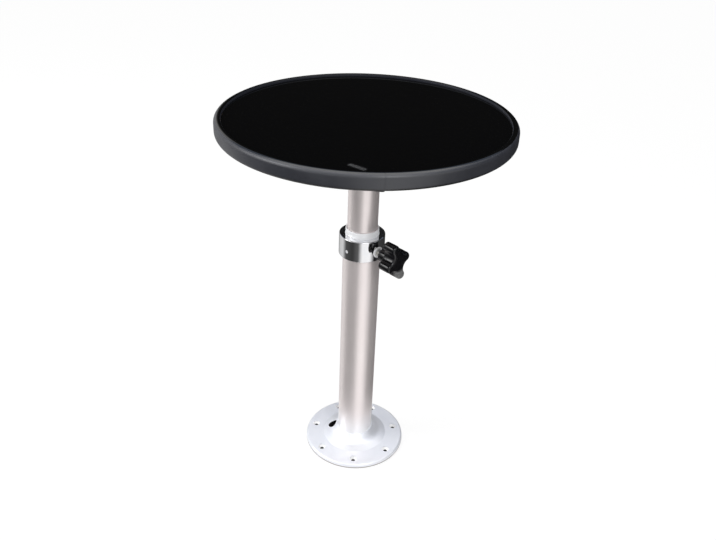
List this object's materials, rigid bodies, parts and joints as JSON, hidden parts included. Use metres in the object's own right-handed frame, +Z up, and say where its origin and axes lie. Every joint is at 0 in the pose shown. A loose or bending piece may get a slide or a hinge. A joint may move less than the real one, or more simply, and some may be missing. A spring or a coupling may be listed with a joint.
{
  "type": "telescoping pedestal table",
  "caption": "Round black pedestal table on a telescoping aluminium leg with a clamp collar, a hand knob and a screw-down base flange.",
  "frame": {"origin": "on the leg's axis at floor level, under the base flange", "axes": "+Z up along the leg, +X along the clamp knob's axis, away from the leg"},
  "size_m": [0.4399, 0.44, 0.6115],
  "materials": {
    "base_aluminium": "polished cast aluminium",
    "tube_aluminium": "satin anodised",
    "collar_chrome": "mirror",
    "steel": "zinc plated",
    "nylon": "natural nylon",
    "plug_plastic": "moulded black",
    "knob_plastic": "gloss moulded black",
    "table_surface": "high gloss black laminate",
    "backing_sheet": "plain matt laminate",
    "board": "fibreboard",
    "edge_rubber": "dark grey moulded rubber"
  },
  "bodies": {
    "stand": {"base_flange": "base_aluminium", "base_set_screw": "steel", "outer_tube": "tube_aluminium", "clamp_collar": "collar_chrome", "collar_set_screws": "steel", "stud_boss": "steel", "guide_bush": "nylon"},
    "guide_carriage": {"lower_guide_ring": "nylon"},
    "table": {"inner_tube": "tube_aluminium", "inner_tube_plug": "plug_plastic", "stop_ring": "steel", "table_bracket": "base_aluminium", "bracket_set_screws": "steel", "bracket_screws": "steel", "backing_laminate": "backing_sheet", "core_board": "board", "top_laminate": "table_surface", "edge_band": "edge_rubber"},
    "clamp_pad": {"pressure_pad": "nylon"},
    "clamp_knob": {"knob_stud": "steel", "knob_body": "knob_plastic"}
  },
  "joints": [
    {"name": "height_slide", "type": "slide", "parent": "stand", "child": "guide_carriage", "axis": [0, 0, 1], "range_m": [-0.12, 0.128]},
    {"name": "swivel", "type": "hinge", "parent": "guide_carriage", "child": "table", "pos_m": [0, 0, 0.3992], "axis": [0, 0, 1], "continuous": true},
    {"name": "pad_slide", "type": "slide", "parent": "stand", "child": "clamp_pad", "axis": [1, 0, 0], "range_m": [0, 0.003]},
    {"name": "knob_turn", "type": "hinge", "parent": "clamp_pad", "child": "clamp_knob", "pos_m": [0.05, 0, 0.3992], "axis": [1, 0, 0], "range_deg": [0, 730]}
  ],
  "couplings": [
    {"joint": "knob_turn", "follows": "pad_slide", "rad_per_m": 4188.8}
  ]
}
